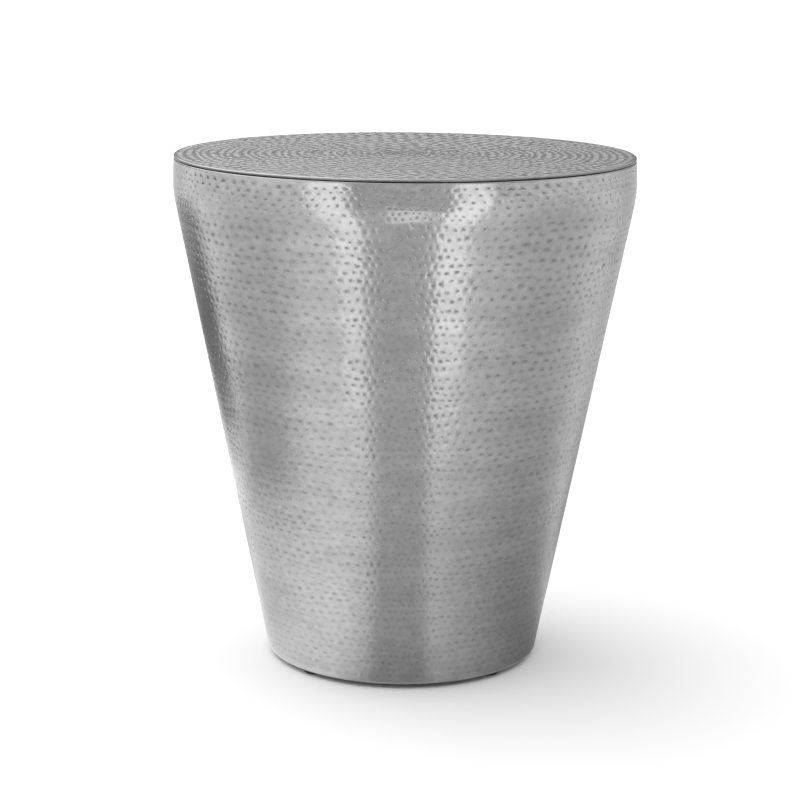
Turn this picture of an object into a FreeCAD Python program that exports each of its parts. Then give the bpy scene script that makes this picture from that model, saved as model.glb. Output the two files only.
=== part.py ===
import FreeCAD, Part
import math
import os

# Tapered drum side table of hammered sheet aluminium, in millimetres.
# The origin is on the floor under the middle of the table, +Z is up and the front faces -Y.

# Outline of the whole table, over the outer face of the sheet, to its corners before they are bent round
TABLE_HEIGHT = 500.0
RIM_DIAMETER = 448.0
SHOULDER_SWELL = 1.5
SHOULDER_DROP = 33.5
SHOULDER_BEND_RADIUS = 125.0
SHOULDER_BEND_ROOM_SHARE = 0.8
BASE_DIAMETER = 270.0

# Rolled wall
WALL_THICKNESS = 1.5
RIM_FLANGE_WIDTH = 18.0
RIM_INNER_BEND_RADIUS = 1.0
BASE_FLANGE_WIDTH = 26.0
BASE_INNER_BEND_RADIUS = 2.5

# Strap bonded behind the wall's upright seam
STRAP_WIDTH = 40.0
STRAP_THICKNESS = 1.5
STRAP_BOND_GAP = 0.3
STRAP_END_GAP = 6.0

# Round top and the board bonded under it
TOP_THICKNESS = 1.5
HEM_SETBACK = 4.0
TOP_BOARD_THICKNESS = 12.0
TOP_BOARD_CLEARANCE = 1.0

# Bent clips that hold the top down on the wall's flange
CLIP_COUNT = 6
CLIP_WIDTH = 20.0
CLIP_THICKNESS = 2.0
CLIP_INNER_BEND_RADIUS = 0.5
CLIP_FOOT_LENGTH = 28.0
CLIP_BOARD_CLEARANCE = 1.5
CLIP_LIP_REACH = 10.0

# Ring in the base, with a hand hole
BASE_RING_THICKNESS = 15.0
BASE_RING_CLEARANCE = 0.7
HAND_HOLE_DIAMETER = 140.0

# Glides under the base flange
GLIDE_COUNT = 4
GLIDE_DIAMETER = 20.0
GLIDE_HEIGHT = 4.0
GLIDE_EDGE_RADIUS = 1.5

# Screws: each stops short of the far face of the board that it bites into
CLIP_SCREW_DIAMETER = 3.5
CLIP_SCREW_HEAD_DIAMETER = 7.0
CLIP_SCREW_HEAD_HEIGHT = 2.2
GLIDE_SCREW_DIAMETER = 4.0
GLIDE_SCREW_HEAD_DIAMETER = 7.6
GLIDE_SCREW_HEAD_SINK = 0.8
SCREW_TIP_COVER = 4.0
SCREW_POINT_LENGTH = 3.0
SCREW_HOLE_CLEARANCE = 0.3
PILOT_CLEARANCE = 0.05
RECESS_WIDTH = 1.0
RECESS_SPAN = 3.6
RECESS_DEPTH = 1.1

# Angles
FULL_TURN = 360.0
SUNK_HEAD_FLARE = math.radians(45.0)
SEAM_ANGLE = 90.0
FIRST_GLIDE_ANGLE = 45.0
FIRST_CLIP_ANGLE = 30.0

# Every cut runs this far past the face that it opens
CUT_OVERRUN = 2.0

# Heights and radii that several pieces share
RIM_RADIUS = RIM_DIAMETER / 2
SHOULDER_RADIUS = RIM_RADIUS + SHOULDER_SWELL
BASE_RADIUS = BASE_DIAMETER / 2
SHELL_BOTTOM = GLIDE_HEIGHT
SHELL_TOP = TABLE_HEIGHT - 2 * TOP_THICKNESS
SHOULDER_HEIGHT = TABLE_HEIGHT - SHOULDER_DROP
RIM_FLANGE_UNDERSIDE = SHELL_TOP - WALL_THICKNESS
RIM_FLANGE_RADIUS = RIM_RADIUS - RIM_FLANGE_WIDTH
BASE_FLANGE_RADIUS = BASE_RADIUS - BASE_FLANGE_WIDTH
TAPER = math.atan2(SHOULDER_RADIUS - BASE_RADIUS, SHOULDER_HEIGHT - SHELL_BOTTOM)
LEAN = math.atan2(SHOULDER_RADIUS - RIM_RADIUS, SHELL_TOP - SHOULDER_HEIGHT)
BAND_LENGTH = (SHELL_TOP - SHOULDER_HEIGHT) / math.cos(LEAN)
SHOULDER_HALF_TURN = abs(TAPER + LEAN) / 2
SHOULDER_BEND_LENGTH = min(
    SHOULDER_BEND_RADIUS * math.tan(SHOULDER_HALF_TURN),
    BAND_LENGTH * SHOULDER_BEND_ROOM_SHARE,
)
BASE_BEND_RADIUS = BASE_INNER_BEND_RADIUS + WALL_THICKNESS
BASE_BEND_LENGTH = BASE_BEND_RADIUS * math.tan((math.pi / 2 - TAPER) / 2)
BASE_FLAT_RADIUS = BASE_RADIUS - BASE_BEND_LENGTH
BOARD_RADIUS = RIM_FLANGE_RADIUS - TOP_BOARD_CLEARANCE
BOARD_TOP = TABLE_HEIGHT - TOP_THICKNESS
BOARD_UNDERSIDE = BOARD_TOP - TOP_BOARD_THICKNESS
RING_BOTTOM = SHELL_BOTTOM + WALL_THICKNESS
RING_TOP = RING_BOTTOM + BASE_RING_THICKNESS
CLIP_RISER_RADIUS = BOARD_RADIUS + CLIP_BOARD_CLEARANCE
CLIP_FOOT_RADIUS = CLIP_RISER_RADIUS - CLIP_FOOT_LENGTH
CLIP_SCREW_CIRCLE = (CLIP_FOOT_RADIUS + BOARD_RADIUS) / 2
CLIP_SCREW_SEAT = BOARD_UNDERSIDE - CLIP_THICKNESS
GLIDE_CIRCLE = (BASE_FLANGE_RADIUS + BASE_FLAT_RADIUS) / 2

UP = FreeCAD.Vector(0, 0, 1)
CENTRE = FreeCAD.Vector(0, 0, 0)


def profile_point(radius, height):
    """A point of a section drawn in the XZ plane."""
    return FreeCAD.Vector(radius, 0, height)


def line(start, end):
    """A straight edge."""
    return Part.LineSegment(start, end).toShape()


def arc(start, middle, end):
    """A round edge through three points."""
    return Part.Arc(start, middle, end).toShape()


def polygon(points):
    """A closed outline of straight edges."""
    return [line(a, b) for a, b in zip(points, points[1:] + points[:1])]


def turned(edges):
    """The solid that a closed section makes when it turns about the table's axis."""
    return Part.Face(Part.Wire(edges)).revolve(CENTRE, UP, FULL_TURN)


def cylinder(radius, bottom, top):
    """An upright cylinder on the table's axis."""
    return Part.makeCylinder(radius, top - bottom, profile_point(0, bottom), UP)


def left_of(direction):
    """The direction a quarter turn to the left of a direction in the XZ plane."""
    return FreeCAD.Vector(-direction.z, 0, direction.x)


def bent_sheet(corners, radii, thickness):
    """The closed section of bent sheet, from the corners of its one face and the bend radius there.

    The sheet lies on the left of the run of corners.
    """
    runs = [(b - a).normalize() for a, b in zip(corners, corners[1:])]
    face = [corners[0]]
    back = [corners[0] + left_of(runs[0]) * thickness]
    for corner, radius, into, out in zip(corners[1:], radii, runs, runs[1:]):
        side = math.copysign(1, left_of(into).dot(out))
        half_turn = into.getAngle(out) / 2
        length = radius * math.tan(half_turn)
        first = corner - into * length
        last = corner + out * length
        centre = first + left_of(into) * side * radius
        apex = (corner - centre).normalize()
        back_radius = radius - side * thickness
        back_first = first + left_of(into) * thickness
        back_last = last + left_of(out) * thickness
        face += [first, centre + apex * radius, last]
        back += [back_first, centre + apex * back_radius, back_last]
    face.append(corners[-1])
    back.append(corners[-1] + left_of(runs[-1]) * thickness)
    edges = [line(face[0], back[0]), line(face[-1], back[-1])]
    for points in (face, back):
        edges += [line(a, b) for a, b in zip(points[::3], points[1::3])]
        edges += [arc(a, b, c) for a, b, c in zip(points[1::3], points[2::3], points[3::3])]
    return Part.__sortEdges__(edges)


def placed_round(shape, count, first_angle):
    """Copies of a shape, evenly spaced about the table's axis."""
    copies = []
    for index in range(count):
        copy = shape.copy()
        copy.rotate(CENTRE, UP, first_angle + index * FULL_TURN / count)
        copies.append(copy)
    return copies


def inner_cone(height, depth):
    """Radius of the taper at a height, at a depth square to its outer face."""
    return BASE_RADIUS + (height - SHELL_BOTTOM) * math.tan(TAPER) - depth / math.cos(TAPER)


def drum_shell():
    """The rolled wall, turned in at the base and at the rim."""
    corners = [
        profile_point(BASE_FLANGE_RADIUS, SHELL_BOTTOM),
        profile_point(BASE_RADIUS, SHELL_BOTTOM),
        profile_point(SHOULDER_RADIUS, SHOULDER_HEIGHT),
        profile_point(RIM_RADIUS, SHELL_TOP),
        profile_point(RIM_FLANGE_RADIUS, SHELL_TOP),
    ]
    shoulder_bend = SHOULDER_BEND_LENGTH / math.tan(SHOULDER_HALF_TURN)
    bends = [BASE_BEND_RADIUS, shoulder_bend, RIM_INNER_BEND_RADIUS + WALL_THICKNESS]
    shell = turned(bent_sheet(corners, bends, WALL_THICKNESS))
    hole_radius = GLIDE_SCREW_DIAMETER / 2 + SCREW_HOLE_CLEARANCE
    hole = cylinder(hole_radius, SHELL_BOTTOM - CUT_OVERRUN, RING_BOTTOM + CUT_OVERRUN)
    hole.translate(profile_point(GLIDE_CIRCLE, 0))
    return shell.cut(Part.makeCompound(placed_round(hole, GLIDE_COUNT, FIRST_GLIDE_ANGLE)))


def seam_strap():
    """The strip behind the wall's seam, curved and tapered like the wall."""
    bottom = RING_TOP + STRAP_END_GAP
    top = SHOULDER_HEIGHT - SHOULDER_BEND_LENGTH - STRAP_END_GAP
    outer = WALL_THICKNESS + STRAP_BOND_GAP
    inner = outer + STRAP_THICKNESS
    section = polygon([
        profile_point(inner_cone(bottom, inner), bottom),
        profile_point(inner_cone(bottom, outer), bottom),
        profile_point(inner_cone(top, outer), top),
        profile_point(inner_cone(top, inner), top),
    ])
    corner = FreeCAD.Vector(0, -STRAP_WIDTH / 2, bottom - CUT_OVERRUN)
    slice_box = Part.makeBox(SHOULDER_RADIUS, STRAP_WIDTH, top - bottom + 2 * CUT_OVERRUN, corner)
    strap = turned(section).common(slice_box)
    strap.rotate(CENTRE, UP, SEAM_ANGLE)
    return strap


def top_sheet():
    """The round top, its edge folded under and pressed flat."""
    hem_radius = RIM_FLANGE_RADIUS + HEM_SETBACK
    nose_radius = RIM_RADIUS - TOP_THICKNESS
    centre_top = profile_point(0, TABLE_HEIGHT)
    nose_top = profile_point(nose_radius, TABLE_HEIGHT)
    nose_tip = profile_point(RIM_RADIUS, BOARD_TOP)
    nose_bottom = profile_point(nose_radius, SHELL_TOP)
    hem_bottom = profile_point(hem_radius, SHELL_TOP)
    hem_top = profile_point(hem_radius, BOARD_TOP)
    centre_bottom = profile_point(0, BOARD_TOP)
    return turned([
        line(centre_top, nose_top),
        arc(nose_top, nose_tip, nose_bottom),
        line(nose_bottom, hem_bottom),
        line(hem_bottom, hem_top),
        line(hem_top, centre_bottom),
        line(centre_bottom, centre_top),
    ])


def clip_screw_length():
    """Length of a clip screw under its head."""
    return CLIP_THICKNESS + TOP_BOARD_THICKNESS - SCREW_TIP_COVER


def top_board():
    """The disc bonded under the top, with a pilot hole for each clip screw."""
    board = cylinder(BOARD_RADIUS, BOARD_UNDERSIDE, BOARD_TOP)
    pilot_radius = CLIP_SCREW_DIAMETER / 2 + PILOT_CLEARANCE
    pilot = cylinder(pilot_radius, BOARD_UNDERSIDE - CUT_OVERRUN, CLIP_SCREW_SEAT + clip_screw_length())
    pilot.translate(profile_point(CLIP_SCREW_CIRCLE, 0))
    return board.cut(Part.makeCompound(placed_round(pilot, CLIP_COUNT, FIRST_CLIP_ANGLE)))


def top_clips():
    """The Z-shaped clips, each with its screw hole."""
    riser_radius = CLIP_RISER_RADIUS + CLIP_THICKNESS
    lip_radius = RIM_FLANGE_RADIUS + CLIP_LIP_REACH
    lip_underside = RIM_FLANGE_UNDERSIDE - CLIP_THICKNESS
    corners = [
        profile_point(CLIP_FOOT_RADIUS, CLIP_SCREW_SEAT),
        profile_point(riser_radius, CLIP_SCREW_SEAT),
        profile_point(riser_radius, lip_underside),
        profile_point(lip_radius, lip_underside),
    ]
    bends = [CLIP_INNER_BEND_RADIUS + CLIP_THICKNESS, CLIP_INNER_BEND_RADIUS]
    section = Part.Face(Part.Wire(bent_sheet(corners, bends, CLIP_THICKNESS)))
    clip = section.extrude(FreeCAD.Vector(0, CLIP_WIDTH, 0))
    clip.translate(FreeCAD.Vector(0, -CLIP_WIDTH / 2, 0))
    hole_radius = CLIP_SCREW_DIAMETER / 2 + SCREW_HOLE_CLEARANCE
    hole = cylinder(hole_radius, CLIP_SCREW_SEAT - CUT_OVERRUN, BOARD_UNDERSIDE + CUT_OVERRUN)
    hole.translate(profile_point(CLIP_SCREW_CIRCLE, 0))
    return placed_round(clip.cut(hole), CLIP_COUNT, FIRST_CLIP_ANGLE)


def cross_recess(bottom):
    """The crossed slots that a driver turns, cut up into a head from its underside."""
    slots = []
    for length, width in ((RECESS_SPAN, RECESS_WIDTH), (RECESS_WIDTH, RECESS_SPAN)):
        corner = FreeCAD.Vector(-length / 2, -width / 2, bottom - CUT_OVERRUN)
        slots.append(Part.makeBox(length, width, RECESS_DEPTH + CUT_OVERRUN, corner))
    return slots[0].fuse(slots[1])


def pointed_shank(diameter, bottom, top):
    """The upper points of a screw's section, from its shank to its point."""
    return [
        profile_point(diameter / 2, bottom),
        profile_point(diameter / 2, top - SCREW_POINT_LENGTH),
        profile_point(0, top),
    ]


def clip_screws():
    """Pan-head wood screws, driven up through the clips into the board."""
    head_radius = CLIP_SCREW_HEAD_DIAMETER / 2
    head_bottom = CLIP_SCREW_SEAT - CLIP_SCREW_HEAD_HEIGHT
    head_waist = head_bottom + CLIP_SCREW_HEAD_HEIGHT / 2
    section = polygon(
        [
            profile_point(0, head_bottom),
            profile_point(head_radius - CLIP_SCREW_HEAD_HEIGHT / 2, head_bottom),
            profile_point(head_radius, head_waist),
            profile_point(head_radius, CLIP_SCREW_SEAT),
        ]
        + pointed_shank(CLIP_SCREW_DIAMETER, CLIP_SCREW_SEAT, CLIP_SCREW_SEAT + clip_screw_length())
    )
    screw = turned(section).cut(cross_recess(head_bottom))
    screw.translate(profile_point(CLIP_SCREW_CIRCLE, 0))
    return Part.makeCompound(placed_round(screw, CLIP_COUNT, FIRST_CLIP_ANGLE))


def base_ring():
    """The ring on the base flange, with a pilot hole for each glide screw."""
    ring = cylinder(BASE_FLAT_RADIUS - BASE_RING_CLEARANCE, RING_BOTTOM, RING_TOP)
    ring = ring.cut(cylinder(HAND_HOLE_DIAMETER / 2, RING_BOTTOM - CUT_OVERRUN, RING_TOP + CUT_OVERRUN))
    pilot_radius = GLIDE_SCREW_DIAMETER / 2 + PILOT_CLEARANCE
    pilot = cylinder(pilot_radius, RING_BOTTOM - CUT_OVERRUN, RING_TOP - SCREW_TIP_COVER)
    pilot.translate(profile_point(GLIDE_CIRCLE, 0))
    return ring.cut(Part.makeCompound(placed_round(pilot, GLIDE_COUNT, FIRST_GLIDE_ANGLE)))


def sunk_head_height():
    """Height of the cone under a countersunk head."""
    return (GLIDE_SCREW_HEAD_DIAMETER - GLIDE_SCREW_DIAMETER) / 2 / math.tan(SUNK_HEAD_FLARE)


def glides():
    """The round nylon feet, each countersunk from below for its screw."""
    radius = GLIDE_DIAMETER / 2
    hole_radius = GLIDE_SCREW_DIAMETER / 2 + SCREW_HOLE_CLEARANCE
    mouth_radius = GLIDE_SCREW_HEAD_DIAMETER / 2 + SCREW_HOLE_CLEARANCE
    edge_share = 1 - math.cos(math.pi / 4)
    mouth_bottom = profile_point(mouth_radius, 0)
    edge_start = profile_point(radius - GLIDE_EDGE_RADIUS, 0)
    edge_middle = profile_point(radius - GLIDE_EDGE_RADIUS * edge_share, GLIDE_EDGE_RADIUS * edge_share)
    edge_end = profile_point(radius, GLIDE_EDGE_RADIUS)
    outer_top = profile_point(radius, GLIDE_HEIGHT)
    hole_top = profile_point(hole_radius, GLIDE_HEIGHT)
    hole_bottom = profile_point(hole_radius, GLIDE_SCREW_HEAD_SINK + sunk_head_height())
    mouth_top = profile_point(mouth_radius, GLIDE_SCREW_HEAD_SINK)
    glide = turned([
        line(mouth_bottom, edge_start),
        arc(edge_start, edge_middle, edge_end),
        line(edge_end, outer_top),
        line(outer_top, hole_top),
        line(hole_top, hole_bottom),
        line(hole_bottom, mouth_top),
        line(mouth_top, mouth_bottom),
    ])
    glide.translate(profile_point(GLIDE_CIRCLE, 0))
    return placed_round(glide, GLIDE_COUNT, FIRST_GLIDE_ANGLE)


def glide_screws():
    """Countersunk wood screws, driven up through glide and flange into the ring."""
    head_top = GLIDE_SCREW_HEAD_SINK + sunk_head_height()
    section = polygon(
        [
            profile_point(0, GLIDE_SCREW_HEAD_SINK),
            profile_point(GLIDE_SCREW_HEAD_DIAMETER / 2, GLIDE_SCREW_HEAD_SINK),
        ]
        + pointed_shank(GLIDE_SCREW_DIAMETER, head_top, RING_TOP - SCREW_TIP_COVER)
    )
    screw = turned(section).cut(cross_recess(GLIDE_SCREW_HEAD_SINK))
    screw.translate(profile_point(GLIDE_CIRCLE, 0))
    return Part.makeCompound(placed_round(screw, GLIDE_COUNT, FIRST_GLIDE_ANGLE))


def main():
    """Build every piece and write one file for each."""
    pieces = {
        "drum_shell": drum_shell(),
        "seam_strap": seam_strap(),
        "top_sheet": top_sheet(),
        "top_board": top_board(),
        "clip_screws": clip_screws(),
        "base_ring": base_ring(),
        "glide_screws": glide_screws(),
    }
    for number, clip in enumerate(top_clips(), start=1):
        pieces[f"top_clip_{number}"] = clip
    for number, glide in enumerate(glides(), start=1):
        pieces[f"glide_{number}"] = glide
    os.makedirs("parts", exist_ok=True)
    for name, shape in pieces.items():
        shape.exportStep(f"parts/{name}.step")


main()
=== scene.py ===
import math
import random
from functools import partial

import bpy
import numpy as np
from bpy.props import FloatProperty, FloatVectorProperty, IntProperty, PointerProperty
from mathutils import Matrix, Vector


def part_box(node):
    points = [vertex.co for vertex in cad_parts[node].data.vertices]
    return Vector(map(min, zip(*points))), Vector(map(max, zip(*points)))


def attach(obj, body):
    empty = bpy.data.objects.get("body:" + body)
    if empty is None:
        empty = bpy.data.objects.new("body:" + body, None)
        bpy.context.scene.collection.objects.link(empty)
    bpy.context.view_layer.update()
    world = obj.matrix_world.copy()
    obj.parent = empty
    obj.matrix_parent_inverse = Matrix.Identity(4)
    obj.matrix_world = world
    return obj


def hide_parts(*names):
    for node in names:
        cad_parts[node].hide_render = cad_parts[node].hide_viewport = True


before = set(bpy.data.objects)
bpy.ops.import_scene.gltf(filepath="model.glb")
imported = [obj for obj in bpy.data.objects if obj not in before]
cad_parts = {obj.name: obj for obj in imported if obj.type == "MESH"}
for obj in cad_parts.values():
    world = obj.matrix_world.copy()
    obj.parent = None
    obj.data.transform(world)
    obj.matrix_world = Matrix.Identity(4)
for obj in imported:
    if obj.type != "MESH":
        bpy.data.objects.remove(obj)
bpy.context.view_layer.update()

bl_info = {
    "name": "Hammered drum side table",
    "version": (1, 0, 0),
    "blender": (4, 5, 0),
    "location": "3D View > Sidebar > Side Table",
    "description": "Dresses the frame of a tapered drum side table in hammered aluminium",
    "category": "Object",
}

MM = 0.001
BODY = "root"
SHELL_LOW, SHELL_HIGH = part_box("drum_shell")
TOP_LOW, TOP_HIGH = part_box("top_sheet")
BOARD_NODES = ("top_board", "base_ring")
STRAP_NODES = ("seam_strap",)
ZINC_NODES = tuple(f"top_clip_{number}" for number in range(1, 7)) + ("clip_screws", "glide_screws")
GLIDE_NODES = tuple(f"glide_{number}" for number in range(1, 5))
# Points round a ring of plain sheet
PLAIN_POINTS = 160
# How far the painted shade of the gap under the rim reaches down the wall, up the nose and inwards
GAP_SHADE_REACH = 0.5 * MM
NOSE_SHADE_REACH = 3 * MM
GAP_SHADE_DEPTH = 1 * MM
# Polish, with painted shade, left in the hardest dents of the wall
FULL_POLISH_AND_SHADE = 1.0
# Sizes of the patterns in the materials, and their depths
CLOUD = 90 * MM
MOTTLE, MOTTLE_DEPTH = 7 * MM, 0.06 * MM
SCRATCH, SCRATCH_DEPTH = 12 * MM, 0.02 * MM
SMEAR = 4 * MM
MILL_LINE, MILL_LINE_DEPTH = 0.8 * MM, 0.02 * MM
FIBRE, FIBRE_DEPTH = 1.2 * MM, 0.08 * MM
BLOTCH = 25 * MM
ZINC_PATCH = 1.5 * MM
ZINC_GRAIN, ZINC_GRAIN_DEPTH = 0.6 * MM, 0.02 * MM
NYLON_GRAIN, NYLON_GRAIN_DEPTH = 0.7 * MM, 0.04 * MM
SCUFF = 6 * MM
# Where the room is brightest, seen from the table
ROOM_BRIGHT_SIDE = Vector((-0.25, 0.97, 0)).normalized()
# Points across a card, and the height of each card above the one before
CARD_POINTS = 13
CARD_LIFT = 1 * MM
# Cards that only the metal mirrors, which paint light and shade into its reflections: glowing cards paint
# bright bands and a pool of light, grey cards paint the table's shadow, the camera's shadow and darker parts
# of the room. Each gives name, grey, brightness of its own, part of the width that fades at its inner and
# outer side, then rows of inner bearing, outer bearing, radius, cover and, off the floor, height.
CARDS = (
    ("camera_wall", "#D4D4D4", 0.0, (0.1, 0.1), (
        (-50, 50, 3.0, 1), (-50, 50, 3.0, 1, 2.5),
    )),
    # Painted shade in front of the table, where the camera shades the floor
    ("camera_shadow_card", "#CECECE", 0.0, (0.2, 0.2), (
        (-19, 15, 0.14, 1), (-21, 17, 0.5, 1), (-22, 18, 1.3, 1), (-36, 34, 3.2, 1),
    )),
    # Painted reflection of a soft light low down in front of the table
    ("front_glow", "#FFFFFF", 1.4, (0.3, 0.3), (
        (-9, 14, 1.35, 0), (-11, 16, 1.6, 1), (-12, 17, 2.7, 1), (-9, 14, 2.98, 0),
    )),
    # Painted reflection of a bright strip, for the left band down the wall
    ("left_panel", "#FFFFFF", 1.75, (0.1, 0.25), (
        (-19, -32, 0.48, 0), (-19, -32, 0.75, 0.7), (-20, -33, 1.0, 0.85), (-20, -35, 1.35, 1),
        (-24, -44, 1.75, 1, 0.12), (-25, -48, 1.9, 1, 0.35), (-25, -48, 1.9, 1, 0.65),
    )),
    # Painted reflection of a bright strip, for the right band down the wall
    ("right_panel", "#FFFFFF", 1.75, (0.1, 0.25), (
        (14, 30, 0.48, 0), (14, 32, 0.75, 0.8), (15, 32, 1.0, 1), (15, 33, 1.35, 1),
        (20, 39, 1.75, 1, 0.12), (22, 43, 1.9, 1, 0.35), (22, 43, 1.9, 1, 0.65),
    )),
    # Painted pool of light on the floor to the left of the table
    ("left_light_pool", "#FFFFFF", 1.3, (0.18, 0.5), (
        (-18, -100, 0.13, 0.9), (-20, -90, 0.3, 1), (-24, -80, 0.5, 0.6), (-28, -65, 0.75, 0),
    )),
    # Painted shade on the right: the table's shadow on the floor near it, and a darker right side further out
    ("right_shadow_card", "#B4B4B4", 0.0, (0.4, 0.4), (
        (14, 150, 0.13, 1), (16, 145, 0.3, 0.9), (18, 140, 0.6, 0.75), (20, 130, 1.2, 0.65),
        (24, 125, 3.0, 0.5), (28, 120, 8.0, 0.45),
    )),
    ("left_shade", "#C8C8C8", 0.0, (0.35, 0.35), (
        (-55, -130, 0.36, 0), (-55, -125, 0.52, 1), (-45, -120, 0.8, 0.9), (-38, -118, 1.3, 0.6),
        (-45, -118, 3.0, 0.45), (-45, -118, 8.0, 0.4),
    )),
    # Grey cards that darken what the metal mirrors behind the table, to its left and along its right edge
    ("left_back_mat", "#D0D0D0", 0.0, (0.3, 0.1), (
        (-120, -180, 0.13, 0.9), (-122, -180, 0.4, 0.9), (-130, -180, 0.6, 0), (-130, -180, 0.9, 1),
        (-130, -180, 8.0, 1),
    )),
    ("left_mat", "#787878", 0.0, (0.25, 0.3), (
        (-106, -146, 0.55, 0), (-110, -148, 0.85, 0.85), (-112, -160, 1.2, 1),
        (-114, -172, 1.5, 0.95), (-116, -176, 2.0, 0.7), (-118, -176, 3.0, 0.2),
    )),
    ("right_back_mat", "#C4C4C4", 0.0, (0.4, 0.1), (
        (110, 180, 0.13, 1), (110, 180, 1.0, 1), (110, 180, 8.0, 1),
    )),
    ("right_edge_mat", "#808080", 0.0, (0.4, 0.1), (
        (115, 180, 0.13, 0.6), (120, 180, 0.45, 0.7), (130, 180, 0.8, 0.5), (150, 180, 1.5, 0.4),
        (158, 180, 3.0, 0.4),
    )),
)


def linear(hex_colour):
    """The linear red, green, blue and alpha of an sRGB hex colour."""
    levels = [int(hex_colour[i:i + 2], 16) / 255 for i in (1, 3, 5)]
    return tuple(v / 12.92 if v <= 0.04045 else ((v + 0.055) / 1.055) ** 2.4 for v in levels) + (1.0,)


def setting(kind, convert=float, **limits):
    """A function that declares settings of one kind by name, description and default."""
    def declare(name, description, default):
        return kind(name=name, description=description, default=convert(default), **limits)
    return declare


# Kinds of settings. Angles are given in degrees, and a level of 1 lights a white surface to white.
length = setting(FloatProperty, subtype="DISTANCE", unit="LENGTH")
angle = setting(FloatProperty, math.radians, subtype="ANGLE")
colour = setting(FloatVectorProperty, linear, size=4, subtype="COLOR", min=0, max=1)
share = setting(FloatProperty, subtype="FACTOR", min=0, max=1)
ratio = setting(FloatProperty, min=0.5)
focal_length = setting(FloatProperty, unit="CAMERA", min=1)
level = setting(FloatProperty, min=0)
whole_number = setting(IntProperty, int, min=1)


class SheetSizes(bpy.types.PropertyGroup):
    """Sizes of the two hammered sheets, close to those in the frame."""

    rim_diameter: length("Rim diameter", "Across the rim of the top", 448 * MM)
    shoulder_swell: length("Shoulder swell", "How far the shoulder stands outside the rim", 1.5 * MM)
    shoulder_drop: length("Shoulder drop", "From the top down to the shoulder", 33.5 * MM)
    shoulder_bend: length("Shoulder bend", "Outer radius of the bend at the shoulder", 125 * MM)
    base_diameter: length("Base diameter", "Across the base of the wall", 270 * MM)
    base_flange: length("Base flange", "How far the wall turns in at the base", 26 * MM)
    base_bend: length("Base bend", "Outer radius of the bend at the base", 4 * MM)
    rim_flange: length("Rim flange", "How far the wall turns in under the top", 18 * MM)
    rim_bend: length("Rim bend", "Outer radius of the bend under the top", 1.7 * MM)
    sheet: length("Sheet", "Thickness of the sheet", 1.5 * MM)
    sheet_edge: length("Sheet edge", "Rounding of the sheet's cut edges", 0.2 * MM)
    hem_setback: length("Hem setback", "How far the hem ends outside the flange's edge", 4 * MM)


class HammerMarks(bpy.types.PropertyGroup):
    """How the two sheets were hammered."""

    wall_rows: whole_number("Wall rows", "Rows of dents on the wall", 66)
    shoulder_rows: whole_number("Shoulder rows", "Closer rows at the top of the wall", 6)
    shoulder_row: share("Shoulder row", "Height of a row on the shoulder over that of a row below it", 0.65)
    row_growth: ratio("Row growth", "Height of the top row over that of the bottom row", 1.3)
    row_drift: share("Row drift", "How far a row strays from half a dent off the row below, in dents", 0.1)
    top_drift: share("Top drift", "How far a ring strays from half a dent off the next, in dents", 0.15)
    spacing: ratio("Spacing", "Spacing of the dents along a row over its height", 1.36)
    front_crowding: share("Front crowding", "How much closer the wall's dents lie at the front", 0.2)
    crowding: share("Crowding", "How much closer the wall's dents lie in the middle of each quarter", 0.25)
    top_row: length("Top row", "Spacing of the rings of dents on the top", 7.8 * MM)
    top_spacing: ratio("Top spacing", "Spacing of the dents along a ring over its width", 1.73)
    plain_rim: length("Plain rim", "Plain strip of wall under the rim", 2 * MM)
    plain_base: length("Plain base", "Plain strip of wall above the bend at the base", 3 * MM)
    plain_nose: length("Plain nose", "Plain strip of the top along its rim", 1 * MM)
    fill: share("Fill", "Height of a dent over that of its row", 0.42)
    top_fill: share("Top fill", "Length of a dent of the top over the width of its ring", 0.95)
    depth: share("Depth", "Mean depth of a dent over half its height", 0.2)
    rise: share("Rise", "How much harder the blows on the wall get from its base to its rim", 0.5)
    top_depth: share("Top depth", "Mean depth of a dent of the top over half its length", 0.22)
    # The dents' film is polish left in them and painted shade
    top_polish_and_shade: share("Top polish", "Polish left in the dents of the top over that in the wall's dents", 0.8)
    wander: length("Wander", "How far dents of the wall wander off their rows", 5 * MM)
    top_wander: length("Top wander", "How far dents of the top wander off their rings", 3 * MM)
    wander_length: length("Wander length", "Length of the waves in the rows of the wall", 70 * MM)
    top_wander_length: length("Top wander length", "Length of the waves in the rings of the top", 40 * MM)
    ripple: length("Ripple", "How deep the wall waves from row to row", 0.25 * MM)
    top_ripple: length("Top ripple", "How deep the top waves from ring to ring", 0.1 * MM)
    seed: whole_number("Seed", "Start of the random draws", 11)


class Finishes(bpy.types.PropertyGroup):
    """Colours of the materials."""

    aluminium_bright: colour("Bright aluminium", "Rubbed, hammered aluminium", "#B2B2B2")
    aluminium_dull: colour("Dull aluminium", "Clouded, hammered aluminium", "#A2A2A2")
    # Grey of the dents' film: polish left in them, and painted shade
    aluminium_dent_film_and_shade: colour("Dents", "Polish left in the dents", "#7C7C7C")
    # Painted shade: near-black tint for the gap under the rim and the top's nose
    aluminium_gap_shade: colour("Joint", "Black polish left in the joint under the rim", "#1C1C1C")
    mill_bright: colour("Bright mill aluminium", "Rolled aluminium along its scratches", "#C2C3C4")
    mill_dull: colour("Dull mill aluminium", "Rolled aluminium between scratches", "#A9ABAD")
    fibre_pale: colour("Pale fibre", "Pale fibres of the board", "#B4946B")
    fibre_dark: colour("Dark fibre", "Dark fibres of the board", "#86653F")
    zinc_pale: colour("Pale zinc", "Pale patches of the plating", "#C8CBCC")
    zinc_dark: colour("Dark zinc", "Dark patches of the plating", "#A2A6AA")
    nylon: colour("Nylon", "Black moulded nylon", "#1B1B1C")
    nylon_worn: colour("Worn nylon", "Scuffed nylon", "#3A3A3B")
    floor: colour("Floor", "White floor", "#FCFCFC")


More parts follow.
